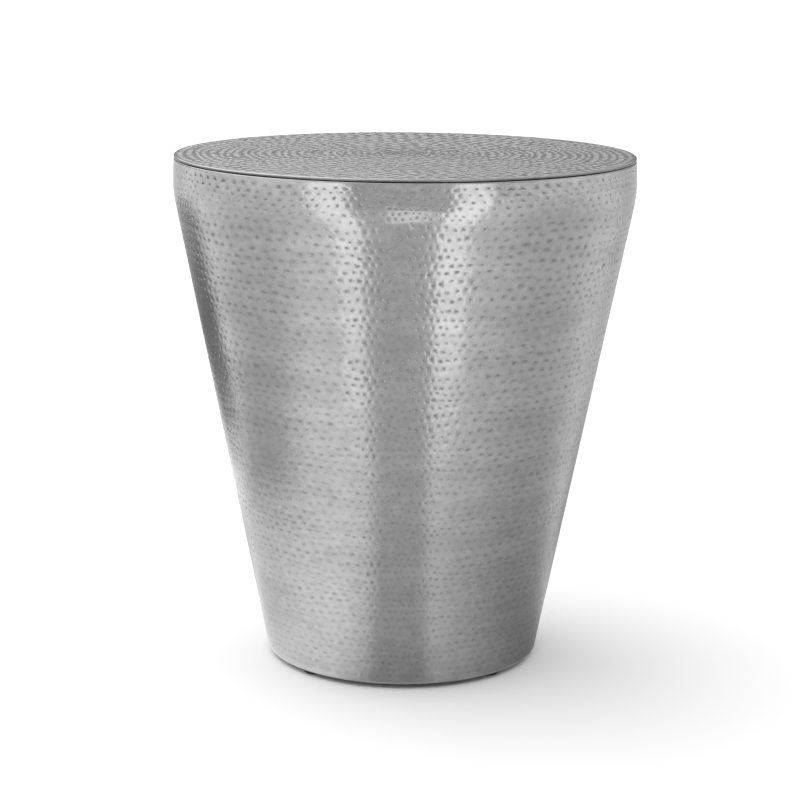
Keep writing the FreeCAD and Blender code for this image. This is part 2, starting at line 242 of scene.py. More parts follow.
class StudioSetup(bpy.types.PropertyGroup):
    """Camera, floor, room and lamp."""

    camera_distance: length("Camera distance", "From the table's axis to the camera", 2.108)
    camera_height: length("Camera height", "Camera above the floor", 0.714)
    camera_pitch: angle("Camera pitch", "How far the camera looks down", 12.29)
    camera_yaw: angle("Camera yaw", "How far the camera looks to the left", 0.09)
    camera_roll: angle("Camera roll", "How far the camera leans to the left", 0.44)
    camera_lens: focal_length("Lens", "Focal length in millimetres", 97.55)
    floor_size: length("Floor size", "Side of the square floor", 90.0)
    room_back_left: level("Back left", "Brightness of the room behind the table on the left", 1.35)
    room_back_right: level("Back right", "Brightness of the room behind the table on the right", 0.78)
    room_skirting: level("Skirting", "Brightness of the foot of the wall behind the table", 0.05)
    room_sides: level("Side walls", "Brightness of the room on both sides", 0.95)
    room_front: level("Front wall", "Brightness of the room on the camera's side", 0.25)
    ceiling: level("Ceiling", "Brightness that the lit ceiling adds to the room", 0.3)
    key: level("Key", "Brightness that the key lamp adds on the floor", 0.2)
    key_bearing: angle("Key bearing", "Bearing of the key lamp to the right of the camera", -110)
    key_height: angle("Key height", "Height of the key lamp above the horizon", 50)
    key_spread: angle("Key spread", "Width of the key lamp as the table sees it", 75)


class Outline:
    """A section of straight runs with bent corners, which turns about the table's axis to make a sheet."""

    # Steps round a bend, and the turn in radians below which a corner counts as straight
    STEPS = 4
    STRAIGHT = 1e-9

    def __init__(self, corners, closed):
        """Take corners of radius, height and bend, in order with the outside of the sheet on the right."""
        places = [np.array(corner[:2]) for corner in corners]
        rows = []
        heading = None
        for i, here in enumerate(places):
            before, after = places[i - 1], places[(i + 1) % len(places)]
            if not closed and i == 0:
                before = 2 * here - after
            if not closed and i == len(places) - 1:
                after = 2 * here - before
            into, out = here - before, after - here
            start = math.atan2(into[1], into[0])
            heading = start if heading is None else heading
            turn = (math.atan2(out[1], out[0]) - start + math.pi) % math.tau - math.pi
            if abs(turn) < self.STRAIGHT:
                rows.append((*here, heading))
                continue
            bend, side = corners[i][2], math.copysign(1, turn)
            along = np.array([math.cos(start), math.sin(start)])
            aside = side * np.array([-along[1], along[0]])
            centre = here - along * bend * abs(math.tan(turn / 2)) + bend * aside
            for step in range(self.STEPS + 1):
                bearing = start + turn * step / self.STEPS
                away = side * np.array([math.sin(bearing), -math.cos(bearing)])
                rows.append((*(centre + bend * away), heading + turn * step / self.STEPS))
            heading += turn
        self.closed = closed
        self.radius, self.height, self.heading = (np.array(column) for column in zip(*rows))
        runs = np.hypot(np.diff(self.radius), np.diff(self.height))
        self.distance = np.concatenate([[0], np.cumsum(runs)])
        gap = math.hypot(self.radius[0] - self.radius[-1], self.height[0] - self.height[-1])
        self.whole = self.distance[-1] + (gap if closed else 0)

    def at(self, distance):
        """Radius, height and heading at distances along the outline."""
        lines = (self.radius, self.height, self.heading)
        return tuple(np.interp(distance, self.distance, line) for line in lines)

    def bend_end(self, corner, closing):
        """Distance along the outline to the start or the end of a bend, counting bends from 0."""
        first = 0 if self.closed else 1
        row = first + corner * (self.STEPS + 1) + (self.STEPS if closing else 0)
        return float(self.distance[row])


def inset(corners, thickness):
    """The corners of the other face of a bent sheet, from its last corner back to its first."""
    places = [np.array(corner[:2]) for corner in corners]
    runs = [(b - a) / np.linalg.norm(b - a) for a, b in zip(places, places[1:])]
    lefts = [np.array([-run[1], run[0]]) for run in runs]
    back = []
    for i, (place, corner) in enumerate(zip(places, corners)):
        one, two = lefts[max(i - 1, 0)], lefts[min(i, len(lefts) - 1)]
        shift = (one + two) / (1 + one @ two) * thickness
        sharp = i in (0, len(places) - 1)
        back.append((*(place + shift), corner[2] if sharp else corner[2] - thickness))
    return back[::-1]


class Waves:
    """A smooth random field over a sheet, from -1 to 1, that closes on itself round the axis."""

    # Number of waves, and the range of their rates along the outline over the rate asked for
    COUNT = 7
    RATES = (0.6, 1.6)

    def __init__(self, draw, around, across, along):
        """Draw waves about as long as across round the axis and as along up the sheet."""
        self.parts = [
            (round(draw.uniform(-1, 1) * around / across), draw.uniform(*self.RATES) / along, draw.random())
            for _ in range(self.COUNT)
        ]

    def at(self, turn, distance):
        """The field, its slope per turn and its slope per metre."""
        value, by_turn, by_run = np.zeros_like(turn), np.zeros_like(turn), np.zeros_like(turn)
        for rounds, rate, phase in self.parts:
            beat = math.tau * (rounds * turn + rate * distance + phase)
            value += np.cos(beat) / len(self.parts)
            by_turn -= np.sin(beat) * math.tau * rounds / len(self.parts)
            by_run -= np.sin(beat) * math.tau * rate / len(self.parts)
        return value, by_turn, by_run


class Skin:
    """The points and triangles of a turned sheet.

    A point is placed by its turns about the axis and its distance along the sheet's outline.
    """

    # Corners of the rings in a dent, and the steepest place on its slope, in its radii
    SIDES = 5
    SLOPE_RING = 1 / math.sqrt(3)
    # Part of a dent's depth that its wide, shallow dish makes, and the dish's reach, in the dent's radii
    DISH_SHARE = 0.35
    DISH_REACH = 1.8
    # Distance from the edges of the hammered part over which the sheet's waves fade out
    EDGE_ROOM = 12 * MM
    # Least radius at which the slope of the waves round the axis is worked out
    AXIS_ROOM = 5 * MM
    # Turns about the axis from +X to the front
    FRONT_TURN = 0.75
    # Corners of cells that are closer than this part of a cell become one
    SNAP_SHARE = 0.1
    # Lengths of the waves in the force of the blows and in the sheet, round the axis and along the outline
    FORCE_WAVES = (130 * MM, 70 * MM)
    SWELL_WAVES = (260 * MM, 26 * MM)
    # How much the waves change the force, the limits of the force, and the force that leaves a full film of
    # polish and painted shade
    FORCE_CHANGE = 0.45
    FORCE_RANGE = (0.3, 1.6)
    FULL_FORCE = 1.5
    # Ranges of the random draws
    ROW_FORCE = (0.8, 1.2)
    BLOW = (0.6, 1.3)
    SIZE = (0.82, 1.15)
    STRETCH = (1.3, 1.8)
    STRAY_ROUND = (-0.4, 0.4)
    STRAY_ALONG = (-0.7, 0.7)
    # Largest part of its cell that a dent takes up, round the axis and along the outline
    LARGEST = (0.9, 0.95)
    # Size and margin of the sheet in its texture map
    MAP_SIZE, MAP_MARGIN = 0.96, 0.01

    def __init__(self, outline, zone):
        self.outline, self.zone = outline, zone
        self.points, self.faces, self.poles, self.dents = [], [], [], []

    def point(self, turn, distance, depth=0.0, by_turn=0.0, by_run=0.0):
        """Add a point under the outline and give its number. Slopes are those of the depth, per metre."""
        self.points.append((turn, distance, depth, by_turn, by_run))
        return len(self.points) - 1

    def pole(self, distance, depth=0.0):
        """Add a point on the axis and give its number."""
        self.poles.append(self.point(0.0, distance, depth))
        return self.poles[-1]

    def ring(self, distance, count):
        """Add a ring of points about the axis and give their numbers."""
        return [self.point(i / count, distance) for i in range(count)]

    def fan(self, centre, ring):
        """Fill a ring from the point at its centre."""
        self.faces += [(centre, a, b) for a, b in zip(ring, ring[1:] + ring[:1])]

    def lace(self, near, near_turns, far, far_turns):
        """Fill the strip between two rings with triangles, taking the ring whose next point comes first."""
        first = min(range(len(far)), key=lambda k: abs((far_turns[k] - near_turns[0] + 0.5) % 1 - 0.5))
        far = far[first:] + far[:first]
        far_turns = far_turns[first:] + [turn + 1 for turn in far_turns[:first]]
        shift = round(far_turns[0] - near_turns[0])
        near_turns = near_turns + [near_turns[0] + 1]
        far_turns = [turn - shift for turn in far_turns + [far_turns[0] + 1]]
        near, far = near + near[:1], far + far[:1]
        i = j = 0
        while i + 1 < len(near) or j + 1 < len(far):
            if j + 1 == len(far) or (i + 1 < len(near) and near_turns[i + 1] <= far_turns[j + 1]):
                self.faces.append((near[i], near[i + 1], far[j]))
                i += 1
            else:
                self.faces.append((near[i], far[j + 1], far[j]))
                j += 1

    def stitch(self, *rings):
        """Fill the strips between rings about the axis."""
        for near, far in zip(rings, rings[1:]):
            self.lace(near, [self.points[k][0] for k in near], far, [self.points[k][0] for k in far])

    def loop(self, distance, rows):
        """Add a ring of points where cells meet at their corners. Give it and each row's places in it."""
        snap = self.SNAP_SHARE / max(count for count, _ in rows)
        corners = sorted(
            ((self.FRONT_TURN + (i + phase) / count) % 1, side, i)
            for side, (count, phase) in enumerate(rows) for i in range(count)
        )
        ring, turns, places = [], [], [[0] * count for count, _ in rows]
        for turn, side, i in corners:
            if not ring or (turn - turns[-1] > snap and turns[0] + 1 - turn > snap):
                ring.append(self.point(turn, distance))
                turns.append(turn)
            places[side][i] = len(ring) - 1 if turn - turns[-1] <= snap else 0
        return ring, places

    def cell_edge(self, ring, places, i):
        """The points of a ring along one cell."""
        start, stop = places[i], places[(i + 1) % len(places)]
        stop += len(ring) * (stop <= start)
        return [ring[k % len(ring)] for k in range(start, stop + 1)]

    def dent(self, corners, centre, reach, around, depth, lean, film_and_shade):
        """Fill a cell with a dent: its middle, rings on its slope and at its edge, and the cell's corners."""
        turns = [(k + 0.5) / self.SIDES for k in range(self.SIDES)]
        rings, first = [], len(self.faces)
        for part in (self.SLOPE_RING, 1.0):
            ring = []
            # A wide, shallow dish lies round the dent.
            pit, dish = 1 - part ** 2, 1 - (part / self.DISH_REACH) ** 2
            fall = (1 - self.DISH_SHARE) * pit ** 2 + self.DISH_SHARE * dish ** 2
            slope = -4 * depth * part * (
                (1 - self.DISH_SHARE) * pit + self.DISH_SHARE * dish / self.DISH_REACH ** 2
            )
            for bearing in turns:
                across, along = (f(math.tau * (bearing + lean)) for f in (math.cos, math.sin))
                ring.append(self.point(
                    centre[0] + part * reach[0] * across / around,
                    centre[1] + part * reach[1] * along,
                    depth * fall,
                    slope * across / reach[0],
                    slope * along / reach[1],
                ))
            rings.append(ring)
        self.fan(self.point(*centre, depth), rings[0])
        self.lace(rings[1], turns, rings[0], turns)
        bearings = []
        for corner in corners:
            turn, distance = self.points[corner][:2]
            across = ((turn - centre[0] + 0.5) % 1 - 0.5) * around / reach[0]
            bearings.append((math.atan2((distance - centre[1]) / reach[1], across) / math.tau - lean) % 1)
        order = sorted(range(len(corners)), key=lambda k: bearings[k])
        self.lace([corners[k] for k in order], [bearings[k] for k in order], rings[1], turns)
        self.dents.append((first, len(self.faces), *centre, around / reach[0], 1 / reach[1], film_and_shade))

    def hammer(self, draw, steps, pitches, row_drift, fill, depth, rise, polish):
        """Fill the strips between the steps with rows of dents. Give the first and the last ring."""
        whole_turn = math.tau * float(self.outline.radius.max())
        force = Waves(draw, whole_turn, *self.FORCE_WAVES)
        rows, arounds, phase = [], [], 0.0
        for low, high, pitch in zip(steps, steps[1:], pitches):
            arounds.append(math.tau * float(self.outline.at((low + high) / 2)[0]))
            phase = (phase + 0.5 + draw.uniform(-row_drift, row_drift)) % 1
            rows.append((max(self.SIDES, round(arounds[-1] / pitch)), phase))
        loops = [self.loop(step, rows[max(k - 1, 0):k + 1]) for k, step in enumerate(steps)]
        for k, ((count, phase), around) in enumerate(zip(rows, arounds)):
            low, high = steps[k], steps[k + 1]
            # Cells have straight sides, which cut inside the arc where a ring holds few of them.
            bow = float(self.outline.at(low)[0]) * (1 - math.cos(math.pi / count))
            room = (around / count / 2, (high - low) / 2 - bow)
            row_force = draw.uniform(*self.ROW_FORCE) * (1 + rise * (k / len(rows) - 0.5))
            (near, near_places), (far, far_places) = loops[k], loops[k + 1]
            for i in range(count):
                corners = self.cell_edge(near, near_places[-1], i) + self.cell_edge(far, far_places[0], i)
                size = min(room[1] * fill * draw.uniform(*self.SIZE), room[1] * self.LARGEST[1])
                reach = (min(size * draw.uniform(*self.STRETCH), room[0] * self.LARGEST[0]), size)
                turn = self.FRONT_TURN + (i + 0.5 + phase) / count
                change = self.FORCE_CHANGE * float(force.at(np.array(turn), np.array(low))[0])
                blow = float(np.clip(row_force * (1 + change), *self.FORCE_RANGE)) * draw.uniform(*self.BLOW)
                centre = (
                    turn + (room[0] - reach[0]) * draw.uniform(*self.STRAY_ROUND) / around,
                    (low + high) / 2 + (room[1] - reach[1]) * draw.uniform(*self.STRAY_ALONG),
                )
                # The dent's grey film is polish left in it and painted shade, fuller the harder the blow
                film_and_shade = polish * min(blow, self.FULL_FORCE) / self.FULL_FORCE
                self.dent(corners, centre, reach, around, depth * size * blow, draw.random(), film_and_shade)
        return loops[0][0], loops[-1][0]

    def build(self, name, draw, wander, wander_length, ripple, crowding):
        """Make the mesh object, with the sheet's waves added between the dents."""
        table = np.array(self.points)
        turn, run, depth, by_turn, by_run = table.T
        around = math.tau * float(self.outline.radius.max())
        low, high = self.zone
        ramp = np.clip(np.minimum(run - low, high - run) / self.EDGE_ROOM, 0, 1)
        window = ramp * ramp * (3 - 2 * ramp)
        drift = Waves(draw, around, 2 * wander_length, wander_length)
        sway = Waves(draw, around, 2 * wander_length, wander_length)
        swell = Waves(draw, around, *self.SWELL_WAVES)
        place, closer, shift = (turn, run), np.ones_like(turn), np.zeros_like(turn)
        for times, strength in crowding:
            beat = times * math.tau * (turn - self.FRONT_TURN)
            closer -= strength * np.cos(beat)
            shift -= strength * np.sin(beat) / (times * math.tau)
        by_turn = by_turn / closer
        turn = turn + shift + window * wander * sway.at(*place)[0] / around
        run = run + window * wander * drift.at(*place)[0]
        radius, height, heading = self.outline.at(run)
        value, slope_turn, slope_run = swell.at(*place)
        depth = depth + window * ripple * (1 + value) / 2
        by_turn = by_turn + window * ripple * slope_turn / 2 / (math.tau * np.maximum(radius, self.AXIS_ROOM))
        by_run = by_run + window * ripple * slope_run / 2
        bearing = math.tau * turn
        flat = np.zeros_like(turn)
        out = np.stack([np.cos(bearing), np.sin(bearing), flat], 1)
        round_about = np.stack([-np.sin(bearing), np.cos(bearing), flat], 1)
        up = np.array([0.0, 0.0, 1.0])
        sine, cosine = np.sin(heading)[:, None], np.cos(heading)[:, None]
        outward, onward = sine * out - cosine * up, cosine * out + sine * up
        normals = outward + by_turn[:, None] * round_about + by_run[:, None] * onward
        for pole in self.poles:
            normals[pole] = outward[pole]
        normals /= np.linalg.norm(normals, axis=1, keepdims=True)
        places = radius[:, None] * out + height[:, None] * up - depth[:, None] * outward
        mesh = bpy.data.meshes.new(name)
        mesh.from_pydata(places.tolist(), [], self.faces)
        mesh.shade_smooth()
        self.unroll(mesh, turn, run)
        # Painted shade: the wall just under the rim and the top's nose darken towards the gap between them
        over = height - SHELL_HIGH.z
        joint = np.where(over > 0, 1 - over / NOSE_SHADE_REACH, 1 + over / GAP_SHADE_REACH)
        joint = (radius > TOP_HIGH.x - GAP_SHADE_DEPTH) * np.clip(joint, 0, 1)
        mesh.attributes.new("joint", "FLOAT", "POINT").data.foreach_set("value", joint.astype(np.float32))
        inside = mesh.attributes.new("dent", "FLOAT_VECTOR", "CORNER")
        inside.data.foreach_set("vector", self.dent_places(*place).astype(np.float32).ravel())
        mesh.normals_split_custom_set_from_vertices(normals.tolist())
        if mesh.validate():
            raise RuntimeError(f"{name} has faulty faces")
        piece = bpy.data.objects.new(name, mesh)
        bpy.context.scene.collection.objects.link(piece)
        return piece

    def dent_places(self, turn, run):
        """For each corner of each face, its place in its dent, in the dent's radii, and the dent's film of
        polish and painted shade.
        """
        faces = np.array(self.faces)
        places = np.zeros((*faces.shape, 3))
        for first, stop, middle, distance, by_turn, by_run, film_and_shade in self.dents:
            corners = faces[first:stop]
            places[first:stop, :, 0] = ((turn[corners] - middle + 0.5) % 1 - 0.5) * by_turn
            places[first:stop, :, 1] = (run[corners] - distance) * by_run
            places[first:stop, :, 2] = film_and_shade
        return places

    def unroll(self, mesh, turn, run):
        """Lay the sheet out flat in its texture map, turns across and distance up."""
        faces = np.array(self.faces)
        across, up = turn[faces] % 1, run[faces] / self.outline.whole
        on_axis = np.isin(faces, self.poles)
        others = np.where(on_axis, np.nan, across)
        for sheet in (others, up):
            wraps = np.nanmax(sheet, axis=1) - np.nanmin(sheet, axis=1) > 0.5
            sheet += wraps[:, None] & (sheet < 0.5)
        across = np.where(on_axis, np.nanmean(others, axis=1)[:, None], others)
        layer = mesh.uv_layers.new(name="OFBake")
        places = np.stack([across, up], 2) * self.MAP_SIZE + self.MAP_MARGIN
        layer.uv.foreach_set("vector", places.astype(np.float32).ravel())


def add_node(tree, kind, settings, links=None):
    """Add a shader node, set its sockets and options, and link nodes, or outputs of nodes, to its inputs."""
    node = tree.nodes.new("ShaderNode" + kind)
    for name, value in settings.items():
        if isinstance(name, int) or name in node.inputs:
            node.inputs[name].default_value = value
        else:
            setattr(node, name, value)
    for name, source in (links or {}).items():
        if isinstance(source, bpy.types.Node):
            source = next(output for output in source.outputs if output.enabled)
        tree.links.new(source, node.inputs[name])
    return node


def new_material(name):
    """A material without nodes, and the function that adds nodes to it."""
    material = bpy.data.materials.new(name)
    material.use_nodes = True
    material.node_tree.nodes.clear()
    return material, partial(add_node, material.node_tree)


def end_material(add, shader, settings, links):
    """End a material's nodes in its shader."""
    add("OutputMaterial", {}, {"Surface": add(shader, settings, links)})


def hammered_aluminium(colours):
    """Sheet aluminium, hammered by hand and buffed.

    The eye gets soft mirror images broken by the dents, a grey film in and round the dents that is partly
    polish left where the buff doesn't reach and partly painted shade, painted near-black shade along the gap
    under the rim, cloudy patches a hand wide, and fine buffing scratches round the drum.
    """
    material, add = new_material("hammered_aluminium_sheet")
    place = add("TexCoord", {}).outputs["Object"]
    joint = add("Attribute", {"attribute_name": "joint"}).outputs["Fac"]
    inside = add("Attribute", {"attribute_name": "dent"}).outputs["Vector"]
    oval = add("VectorMath", {"operation": "MULTIPLY", 1: (0.85, 1, 0)}, {0: inside})
    off_centre = add("VectorMath", {"operation": "LENGTH"}, {0: oval})
    spot = add(
        "MapRange",
        {"interpolation_type": "SMOOTHSTEP", "From Max": 1.8, "To Min": 1.0, "To Max": 0.0},
        {"Value": off_centre},
    )
    force = add("SeparateXYZ", {}, {"Vector": inside}).outputs["Z"]
    dent = add("Math", {"operation": "MULTIPLY"}, {0: spot, 1: force})
    low_bands = add("Mapping", {"Scale": (1, 1, 4)}, {"Vector": place})
    clouds = add("TexNoise", {"Scale": 1 / CLOUD, "Detail": 4}, {"Vector": low_bands})
    mottle = add("TexNoise", {"Scale": 1 / MOTTLE, "Detail": 2}, {"Vector": place})
    mixed = add("Mix", {0: 0.5}, {2: clouds, 3: mottle})
    cloudy = add("MapRange", {"From Min": 0.38, "From Max": 0.62}, {"Value": mixed})
    thin_bands = add("Mapping", {"Scale": (1, 1, 12)}, {"Vector": place})
    # Buffing scratches are a tenth of a millimetre wide. They are drawn ten times as coarse, to show.
    scratches = add("TexNoise", {"Scale": 1 / SCRATCH, "Detail": 3}, {"Vector": thin_bands})
    smear = add("TexNoise", {"Scale": 1 / SMEAR, "Detail": 2}, {"Vector": place})
    ground = add(
        "Mix", {"data_type": "RGBA", 6: colours.aluminium_bright, 7: colours.aluminium_dull}, {0: cloudy}
    )
    smeared = add("Math", {"operation": "MULTIPLY"}, {0: dent, 1: smear})
    # Painted shade and polish: a grey film darkens each dent and a smear round it
    film_and_shade = add("Math", {"operation": "MULTIPLY", "use_clamp": True, 1: 1.55}, {0: smeared})
    filmed_and_shaded = add("Mix", {"data_type": "RGBA", 7: colours.aluminium_dent_film_and_shade}, {0: film_and_shade, 6: ground})
    # Painted shade along the gap under the rim
    tint = add("Mix", {"data_type": "RGBA", 7: colours.aluminium_gap_shade}, {0: joint, 6: filmed_and_shaded})
    buffed = add(
        "MapRange", {"From Min": 0.3, "From Max": 0.7, "To Min": 0.1, "To Max": 0.18}, {"Value": scratches}
    )
    rough = add("Math", {"operation": "MULTIPLY_ADD", 1: 0.1}, {0: film_and_shade, 2: buffed})
    uneven = add("Bump", {"Distance": MOTTLE_DEPTH}, {"Height": mottle})
    bump = add(
        "Bump", {"Strength": 0.25, "Distance": SCRATCH_DEPTH}, {"Height": scratches, "Normal": uneven}
    )
    end_material(
        add, "BsdfPrincipled", {"Metallic": 1.0}, {"Base Color": tint, "Roughness": rough, "Normal": bump}
    )
    return material


def end_patterned(add, settings, tints, tinting, roughness, roughening, relief, height):
    """End a material in a shader whose tint, roughness and relief follow patterns."""
    tint = add("Mix", {"data_type": "RGBA", 6: tints[0], 7: tints[1]}, {0: tinting})
    rough = add("MapRange", {"To Min": roughness[0], "To Max": roughness[1]}, {"Value": roughening})
    bump = add("Bump", {"Strength": relief[0], "Distance": relief[1]}, {"Height": height})
    links = {"Base Color": tint, "Roughness": rough, "Normal": bump}
    end_material(add, "BsdfPrincipled", settings, links)


def mill_aluminium(colours):
    """Aluminium strip as it leaves the rolling mill.

    The eye gets a dull silver with fine lines along the strip and dim, stretched reflections.
    """
    material, add = new_material("mill_aluminium_strip")
    place = add("TexCoord", {}).outputs["Object"]
    along = add("Mapping", {"Scale": (1, 1, 0.02)}, {"Vector": place})
    lines = add("TexNoise", {"Scale": 1 / MILL_LINE, "Detail": 3}, {"Vector": along})
    tints = (colours.mill_dull, colours.mill_bright)
    end_patterned(add, {"Metallic": 1.0}, tints, lines, (0.34, 0.5), lines, (0.4, MILL_LINE_DEPTH), lines)
    return material


def fibreboard(colours):
    """Medium-density fibreboard, pressed and sanded.

    The eye gets a matt tan felt of short fibres with darker specks, and no grain.
    """
    material, add = new_material("sanded_fibreboard")
    place = add("TexCoord", {}).outputs["Object"]
    fibres = add("TexNoise", {"Scale": 1 / FIBRE, "Detail": 4}, {"Vector": place})
    blotches = add("TexNoise", {"Scale": 1 / BLOTCH, "Detail": 2}, {"Vector": place})
    mixed = add("Mix", {0: 0.3}, {2: fibres, 3: blotches})
    spread = add("MapRange", {"From Min": 0.35, "From Max": 0.65}, {"Value": mixed})
    tints = (colours.fibre_dark, colours.fibre_pale)
    end_patterned(add, {}, tints, spread, (0.7, 0.9), fibres, (0.5, FIBRE_DEPTH), fibres)
    return material


def zinc_plated_steel(colours):
    """Pressed steel with a bright zinc plating.

    The eye gets a cool silver with small pale and dark patches, like frost, and a satin shine.
    """
    material, add = new_material("zinc_plated_steel")
    place = add("TexCoord", {}).outputs["Object"]
    patches = add("TexVoronoi", {"Scale": 1 / ZINC_PATCH}, {"Vector": place})
    patch = add("RGBToBW", {}, {"Color": patches.outputs["Color"]})
    grain = add("TexNoise", {"Scale": 1 / ZINC_GRAIN, "Detail": 2}, {"Vector": place})
    tints = (colours.zinc_dark, colours.zinc_pale)
    end_patterned(add, {"Metallic": 1.0}, tints, patch, (0.24, 0.38), patch, (0.2, ZINC_GRAIN_DEPTH), grain)
    return material


def black_nylon(colours):
    """Injection-moulded black nylon, spark-textured.

    The eye gets a deep grey-black with a fine grain and paler scuffs where it slid over floors.
    """
    material, add = new_material("moulded_black_nylon")
    place = add("TexCoord", {}).outputs["Object"]
    grain = add("TexNoise", {"Scale": 1 / NYLON_GRAIN, "Detail": 2}, {"Vector": place})
    scuffs = add("TexNoise", {"Scale": 1 / SCUFF, "Detail": 4}, {"Vector": place})
    worn = add("MapRange", {"From Min": 0.45, "From Max": 0.75}, {"Value": scuffs})
    tints = (colours.nylon, colours.nylon_worn)
    end_patterned(add, {"IOR": 1.53}, tints, worn, (0.4, 0.6), worn, (0.35, NYLON_GRAIN_DEPTH), grain)
    return material


def matt_paint(name, tint):
    """Matt paint for the studio's floor."""
    material, add = new_material(name)
    end_material(add, "BsdfDiffuse", {"Color": tint}, {})
    return material


def card_cloth(name, tint, glow):
    """Thin cloth for the studio's cards, glowing by itself where it paints light into the metal's
    reflections, grey where it paints shade, clear where its cover fades out.
    """
    material, add = new_material(name)
    cover = add("Attribute", {"attribute_name": "cover"}).outputs["Fac"]
    if glow:
        cloth = add("Emission", {"Color": tint, "Strength": glow})
    else:
        cloth = add("BsdfDiffuse", {"Color": tint})
    clear = add("BsdfTransparent", {})
    end_material(add, "MixShader", {}, {0: cover, 1: clear, 2: cloth})
    return material


def dress(piece, material):
    """Give a piece one material all over."""
    piece.data.materials.clear()
    piece.data.materials.append(material)


def dress_nodes(names, material):
    """Give nodes of the frame one material all over."""
    for name in names:
        dress(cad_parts[name], material)


def aluminium(colours):
    """The material that the wall and the top share."""
    return bpy.data.materials.get("hammered_aluminium_sheet") or hammered_aluminium(colours)


def bearing_vector(degrees):
    """The level direction at a bearing to the right of the camera, seen from the table."""
    return Vector((math.sin(math.radians(degrees)), -math.cos(math.radians(degrees)), 0))


def card(name, points, faces, material):
    """Add a studio card."""
    sheet = bpy.data.meshes.new(name)
    sheet.from_pydata(points, [], faces)
    piece = bpy.data.objects.new(name, sheet)
    bpy.context.scene.collection.objects.link(piece)
    dress(piece, material)
    return piece


def mirrored_card(name, fades, rows, lift, material):
    """Add a card that only the metal mirrors, laid through rows of points, with sides that fade out."""
    points, covers = [], []
    for inner, outer, radius, cover, *height in rows:
        for part in np.linspace(0, 1, CARD_POINTS):
            place = bearing_vector(inner + (outer - inner) * part) * radius
            points.append(place + Vector((0, 0, lift + sum(height))))
            covers.append(cover * min(part / fades[0], (1 - part) / fades[1], 1))
    corners = [
        row * CARD_POINTS + column for row in range(len(rows) - 1) for column in range(CARD_POINTS - 1)
    ]
    faces = [(k, k + 1, k + 1 + CARD_POINTS, k + CARD_POINTS) for k in corners]
    piece = card(name, points, faces, material)
    piece.data.attributes.new("cover", "FLOAT", "POINT").data.foreach_set("value", covers)
    piece.visible_camera = piece.visible_diffuse = piece.visible_shadow = False


def light_room(scene):
    """Light the scene from a room that is brightest behind the table, and show the camera plain white."""
    studio = scene.studio_setup
    world = scene.world or bpy.data.worlds.new("studio_room")
    scene.world = world
    world.use_nodes = True
    world.node_tree.nodes.clear()
    add = partial(add_node, world.node_tree)
    view = add("TexCoord", {}).outputs["Generated"]
    along = add("SeparateXYZ", {}, {"Vector": view}).outputs
    facing = add("VectorMath", {"operation": "DOT_PRODUCT", 1: ROOM_BRIGHT_SIDE}, {0: view})
    side_walls = add(
        "MapRange",
        {"From Min": -0.9, "From Max": -0.4, "To Min": studio.room_front, "To Max": studio.room_sides},
        {"Value": facing},
    )
    back_light = add(
        "MapRange",
        {
            "From Min": -0.25, "From Max": 0.25,
            "To Min": studio.room_back_left, "To Max": studio.room_back_right,
        },
        {"Value": along["X"]},
    )
    back_wall = add(
        "MapRange", {"From Min": 0.06, "From Max": 0.245, "To Min": studio.room_skirting},
        {"Value": along["Z"], "To Max": back_light},
    )
    behind = add("MapRange", {"From Min": 0.1, "From Max": 0.6}, {"Value": facing})
    walls = add("Mix", {}, {0: behind, 2: side_walls, 3: back_wall})
    ceiling = add(
        "MapRange", {"From Min": 0.45, "From Max": 0.9, "To Max": studio.ceiling}, {"Value": along["Z"]}
    )
    strength = add("Math", {"operation": "ADD"}, {0: walls, 1: ceiling})
    rays = add("LightPath", {}).outputs
    seen = add("Mix", {3: 1.0}, {0: rays["Is Camera Ray"], 2: strength})
    room = add("Background", {"Color": linear("#FFFFFF")}, {"Strength": seen})
    add("OutputWorld", {}, {"Surface": room})


def hang_key_lamp(scene):
    """Add the wide key lamp."""
    studio = scene.studio_setup
    level_part = bearing_vector(math.degrees(studio.key_bearing)) * math.cos(studio.key_height)
    towards = level_part + Vector((0, 0, math.sin(studio.key_height)))
    light = bpy.data.lights.new("key_lamp", "SUN")
    light.energy = studio.key * math.pi / towards.z
    light.angle = studio.key_spread
    lamp = bpy.data.objects.new("key_lamp", light)
    lamp.rotation_euler = (-towards).to_track_quat("-Z", "Y").to_euler()
    scene.collection.objects.link(lamp)


def set_up_camera(scene):
    """Add the camera and look through it."""
    studio = scene.studio_setup
    lens = bpy.data.cameras.new("camera")
    lens.lens = studio.camera_lens
    camera = bpy.data.objects.new("camera", lens)
    scene.collection.objects.link(camera)
    camera.matrix_world = (
        Matrix.Translation((0, -studio.camera_distance, studio.camera_height))
        @ Matrix.Rotation(studio.camera_yaw, 4, "Z")
        @ Matrix.Rotation(math.pi / 2 - studio.camera_pitch, 4, "X")
        @ Matrix.Rotation(studio.camera_roll, 4, "Z")
    )
    scene.camera = camera
    scene.view_settings.view_transform = "Standard"


